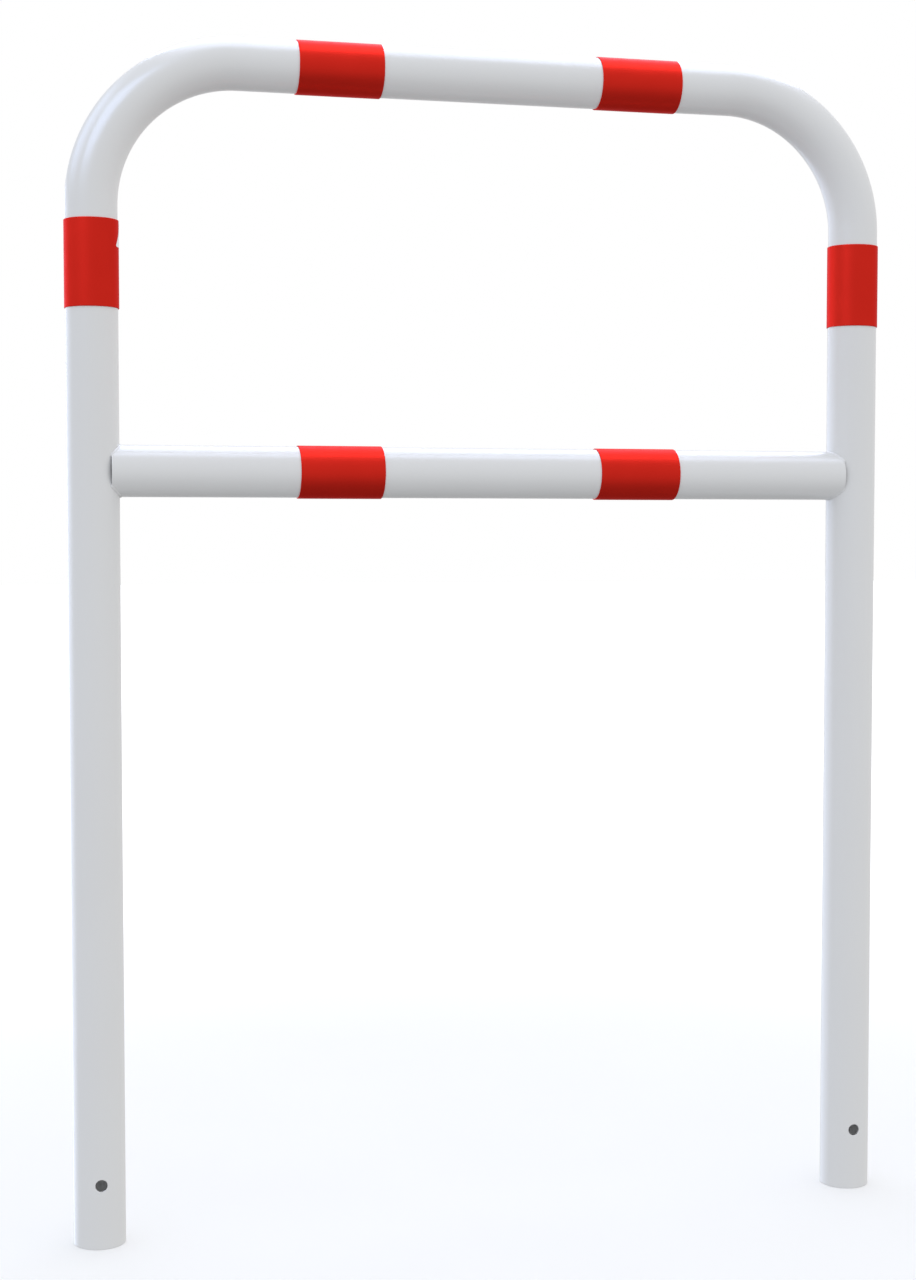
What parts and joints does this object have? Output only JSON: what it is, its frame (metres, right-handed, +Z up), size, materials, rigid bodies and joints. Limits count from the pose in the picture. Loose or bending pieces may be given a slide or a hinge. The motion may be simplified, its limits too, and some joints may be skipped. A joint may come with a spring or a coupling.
{
  "type": "hoop barricade",
  "caption": "Fixed barricade of one bent steel tube with a straight cross rail welded between its posts, red bands round the tube and a cross hole near each open foot.",
  "frame": {"origin": "midway between the centre lines of the two posts, level with their feet", "axes": "+Z up along the posts, +X from the left post to the right post as seen from the front, +Y from the front to the back"},
  "size_m": [1.0024, 0.0624, 1.4012],
  "materials": {
    "white_coat": "satin white powder coat on galvanised steel",
    "weld_coat": "the same powder coat over a steel weld bead",
    "red_film": "satin red reflective film",
    "label_film": "blank white vinyl"
  },
  "bodies": {
    "root": {"hoop_tube": "white_coat", "cross_rail": "white_coat", "weld_left_upper": "weld_coat", "weld_left_lower": "weld_coat", "weld_right_upper": "weld_coat", "weld_right_lower": "weld_coat", "band_left_post": "red_film", "band_right_post": "red_film", "band_top_left": "red_film", "band_top_right": "red_film", "band_rail_left": "red_film", "band_rail_right": "red_film", "blank_label": "label_film"}
  },
  "joints": []
}
